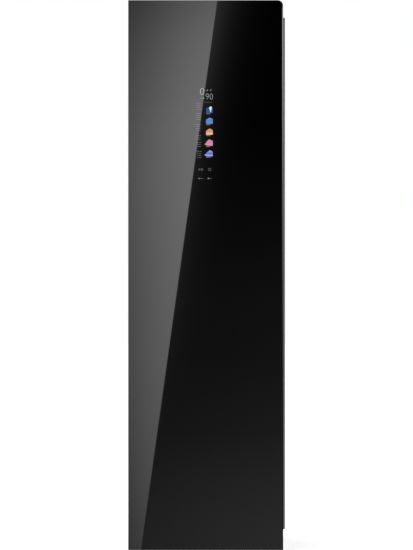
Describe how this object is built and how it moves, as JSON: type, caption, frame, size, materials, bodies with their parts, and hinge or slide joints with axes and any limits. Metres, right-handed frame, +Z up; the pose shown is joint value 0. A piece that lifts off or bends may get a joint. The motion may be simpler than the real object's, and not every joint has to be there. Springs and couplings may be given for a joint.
{
  "type": "clothes care steam cabinet",
  "caption": "Tall steam cabinet for garments with a hinged black glass door, full-height finger grip, shaking hanger rail, water tanks and a heat pump.",
  "frame": {"origin": "middle of the footprint on the floor, under the levelling feet", "axes": "+Z up, -Y out of the door's glass, +X to the right as seen by a person who faces the door"},
  "size_m": [0.525, 0.6, 1.85],
  "materials": {
    "mirror_glass": "black coated tempered glass, mirror gloss",
    "anodised_grey": "satin anodised extrusion",
    "dark_trim": "dark satin trim",
    "painted_steel": "satin dark grey paint",
    "galvanised_steel": "galvanised sheet with spangle",
    "chamber_plastic": "fine satin moulding",
    "dark_plastic": "fine moulded texture",
    "grey_plastic": "fine moulded texture",
    "clear_plastic": "smoky translucent moulding",
    "foam": "closed-cell foam",
    "rubber": "soft matt rubber",
    "nylon": "natural nylon",
    "turned_steel": "fine turned steel",
    "aluminium_fins": "mill finish",
    "copper_pipe": "drawn copper tube",
    "compressor_shell": "black stoved paint",
    "circuit_board": "green board with solder mask",
    "lamp_lens": "frosted lens"
  },
  "bodies": {
    "root": {"base_pan": "galvanised_steel", "left_side_panel": "painted_steel", "right_side_panel": "painted_steel", "top_cover": "painted_steel", "rear_cover": "galvanised_steel", "upper_fascia": "painted_steel", "power_inlet": "dark_plastic", "top_hinge_bracket": "turned_steel", "bottom_hinge_bracket": "turned_steel", "chamber_liner": "chamber_plastic", "left_insulation": "foam", "right_insulation": "foam", "rear_insulation": "foam", "floor_grille": "grey_plastic", "steam_nozzle": "dark_plastic", "chamber_lamp": "lamp_lens", "mechanism_deck": "galvanised_steel", "front_guide_rod": "turned_steel", "rear_guide_rod": "turned_steel", "shaker_motor": "dark_plastic", "control_board": "circuit_board", "tank_bay": "dark_plastic", "air_duct": "dark_plastic", "evaporator": "aluminium_fins", "condenser": "aluminium_fins", "blower_housing": "dark_plastic", "blower_motor": "galvanised_steel", "compressor": "compressor_shell", "discharge_pipe": "copper_pipe", "suction_pipe": "copper_pipe", "steam_generator": "aluminium_fins", "steam_hose": "rubber", "feed_pump": "grey_plastic", "drain_pump": "grey_plastic"},
    "door": {"door_frame": "dark_trim", "door_glass": "mirror_glass", "door_inner_panel": "chamber_plastic", "door_insulation": "foam", "door_gasket": "rubber", "grip_rail": "anodised_grey", "display_module": "dark_plastic", "top_hinge_bush": "nylon", "bottom_hinge_bush": "nylon"},
    "hanger_bar": {"hanger_carriage": "nylon", "hanger_rail": "turned_steel"},
    "hanger_left": {"hanger_1": "dark_plastic"},
    "hanger_middle": {"hanger_2": "dark_plastic"},
    "hanger_right": {"hanger_3": "dark_plastic"},
    "pinion": {"shaker_pinion": "nylon"},
    "supply_tank_set": {"supply_tank": "clear_plastic", "supply_tank_lid": "grey_plastic"},
    "drain_tank_set": {"drain_tank": "clear_plastic", "drain_tank_lid": "grey_plastic"},
    "filter": {"lint_filter": "grey_plastic"},
    "shelf": {"garment_shelf": "grey_plastic"},
    "impeller": {"blower_impeller": "dark_plastic"},
    "foot_1": {"levelling_foot_1": "rubber"},
    "foot_2": {"levelling_foot_2": "rubber"},
    "foot_3": {"levelling_foot_3": "rubber"},
    "foot_4": {"levelling_foot_4": "rubber"}
  },
  "joints": [
    {"name": "door_swing", "type": "hinge", "parent": "root", "child": "door", "pos_m": [-0.2485, -0.274, 0.93], "axis": [0, 0, -1], "range_deg": [0, 115]},
    {"name": "rail_shake", "type": "slide", "parent": "root", "child": "hanger_bar", "axis": [1, 0, 0], "range_m": [-0.02, 0.02]},
    {"name": "pinion_turn", "type": "hinge", "parent": "root", "child": "pinion", "pos_m": [-0.003, 0.078, 1.76], "axis": [0, 0, 1], "range_deg": [-82, 82]},
    {"name": "hanger_left_swing", "type": "hinge", "parent": "hanger_bar", "child": "hanger_left", "pos_m": [-0.113, 0, 1.64], "axis": [1, 0, 0], "range_deg": [-12, 12]},
    {"name": "hanger_middle_swing", "type": "hinge", "parent": "hanger_bar", "child": "hanger_middle", "pos_m": [-0.003, 0, 1.64], "axis": [1, 0, 0], "range_deg": [-12, 12]},
    {"name": "hanger_right_swing", "type": "hinge", "parent": "hanger_bar", "child": "hanger_right", "pos_m": [0.107, 0, 1.64], "axis": [1, 0, 0], "range_deg": [-12, 12]},
    {"name": "supply_tank_pull_out", "type": "slide", "parent": "root", "child": "supply_tank_set", "axis": [0, -1, 0], "range_m": [0, 0.1205]},
    {"name": "drain_tank_pull_out", "type": "slide", "parent": "root", "child": "drain_tank_set", "axis": [0, -1, 0], "range_m": [0, 0.1205]},
    {"name": "filter_lift", "type": "slide", "parent": "root", "child": "filter", "axis": [0, 0, 1], "range_m": [0, 0.11]},
    {"name": "shelf_lift", "type": "slide", "parent": "root", "child": "shelf", "axis": [0, 0, 1], "range_m": [0, 0.2]},
    {"name": "impeller_spin", "type": "hinge", "parent": "root", "child": "impeller", "pos_m": [-0.047, 0.06, 0.402], "axis": [0, 1, 0], "continuous": true},
    {"name": "foot_1_adjust", "type": "slide", "parent": "root", "child": "foot_1", "axis": [0, 0, 1], "range_m": [-0.015, 0]},
    {"name": "foot_2_adjust", "type": "slide", "parent": "root", "child": "foot_2", "axis": [0, 0, 1], "range_m": [-0.015, 0]},
    {"name": "foot_3_adjust", "type": "slide", "parent": "root", "child": "foot_3", "axis": [0, 0, 1], "range_m": [-0.015, 0]},
    {"name": "foot_4_adjust", "type": "slide", "parent": "root", "child": "foot_4", "axis": [0, 0, 1], "range_m": [-0.015, 0]}
  ],
  "couplings": [
    {"joint": "supply_tank_pull_out", "follows": "door_swing", "m_per_rad": 0.06},
    {"joint": "drain_tank_pull_out", "follows": "door_swing", "m_per_rad": 0.06},
    {"joint": "pinion_turn", "follows": "rail_shake", "rad_per_m": 71.429}
  ]
}
